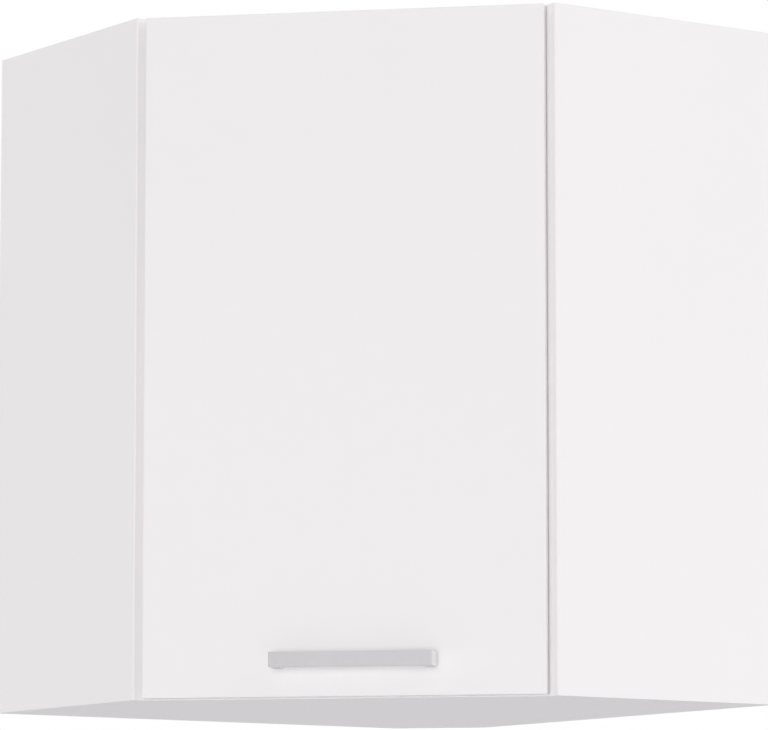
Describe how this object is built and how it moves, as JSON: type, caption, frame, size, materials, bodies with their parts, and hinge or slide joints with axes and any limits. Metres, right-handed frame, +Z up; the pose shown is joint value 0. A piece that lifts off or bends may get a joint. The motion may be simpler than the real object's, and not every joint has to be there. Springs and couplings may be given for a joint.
{
  "type": "corner wall cabinet",
  "caption": "Wall cabinet for a room corner, with a hinged door across the diagonal, a bow handle, adjustable shelves and hangers",
  "frame": {"origin": "Where the two room walls meet, level with the underside of the cabinet.", "axes": "+Z up. The left room wall is the plane x = 0 and the right room wall is the plane y = 0. The cabinet fills the corner towards +X and -Y, and its door faces between +X and -Y."},
  "size_m": [0.6, 0.6, 0.72],
  "materials": {
    "white_board": "white melamine-faced board, satin, with edging of the same white",
    "white_hardboard": "thin hardboard, white lacquered inside, bare brown towards the walls",
    "satin_grey": "light grey, satin",
    "nickel": "nickel-plated steel",
    "zinc": "zinc-plated, slightly dull",
    "white_plastic": "white moulded plastic",
    "clear_rubber": "translucent soft bumper"
  },
  "bodies": {
    "carcass": {"left_end_panel": "white_board", "right_end_panel": "white_board", "bottom_panel": "white_board", "top_panel": "white_board", "corner_back_panel": "white_board", "left_back_panel": "white_hardboard", "right_back_panel": "white_hardboard", "shelf_1": "white_board", "shelf_2": "white_board", "shelf_1_left_rear_pin": "nickel", "shelf_1_left_front_pin": "nickel", "shelf_1_right_rear_pin": "nickel", "shelf_1_right_front_pin": "nickel", "shelf_2_left_rear_pin": "nickel", "shelf_2_left_front_pin": "nickel", "shelf_2_right_rear_pin": "nickel", "shelf_2_right_front_pin": "nickel", "bottom_left_rear_cam": "zinc", "bottom_left_front_cam": "zinc", "bottom_right_rear_cam": "zinc", "bottom_right_front_cam": "zinc", "top_left_rear_cam": "zinc", "top_left_front_cam": "zinc", "top_right_rear_cam": "zinc", "top_right_front_cam": "zinc", "left_hanger_housing": "white_plastic", "right_hanger_housing": "white_plastic", "left_hanger_hook": "zinc", "right_hanger_hook": "zinc", "left_hanger_screw_lower": "nickel", "left_hanger_screw_upper": "nickel", "right_hanger_screw_lower": "nickel", "right_hanger_screw_upper": "nickel", "lower_hinge_arm": "nickel", "upper_hinge_arm": "nickel", "lower_hinge_plate": "nickel", "upper_hinge_plate": "nickel", "lower_arm_screw": "nickel", "upper_arm_screw": "nickel", "lower_plate_screw_lower": "nickel", "lower_plate_screw_upper": "nickel", "upper_plate_screw_lower": "nickel", "upper_plate_screw_upper": "nickel"},
    "hinge_links": {"lower_hinge_link": "nickel", "upper_hinge_link": "nickel"},
    "door": {"door_panel": "white_board", "door_handle": "satin_grey", "handle_screw_left": "nickel", "handle_screw_right": "nickel", "lower_door_bumper": "clear_rubber", "upper_door_bumper": "clear_rubber", "lower_hinge_cup": "nickel", "upper_hinge_cup": "nickel", "lower_cup_screw_lower": "nickel", "lower_cup_screw_upper": "nickel", "upper_cup_screw_lower": "nickel", "upper_cup_screw_upper": "nickel"}
  },
  "joints": [
    {"name": "link_turn", "type": "hinge", "parent": "carcass", "child": "hinge_links", "pos_m": [0.31016, -0.55884, 0.36], "axis": [0, 0, -1], "range_deg": [-71.25, 0]},
    {"name": "door_swing", "type": "hinge", "parent": "hinge_links", "child": "door", "pos_m": [0.29779, -0.57404, 0.36], "axis": [0, 0, -1], "range_deg": [0, 166.25]}
  ],
  "couplings": [
    {"joint": "link_turn", "follows": "door_swing", "ratio": -0.42857}
  ]
}
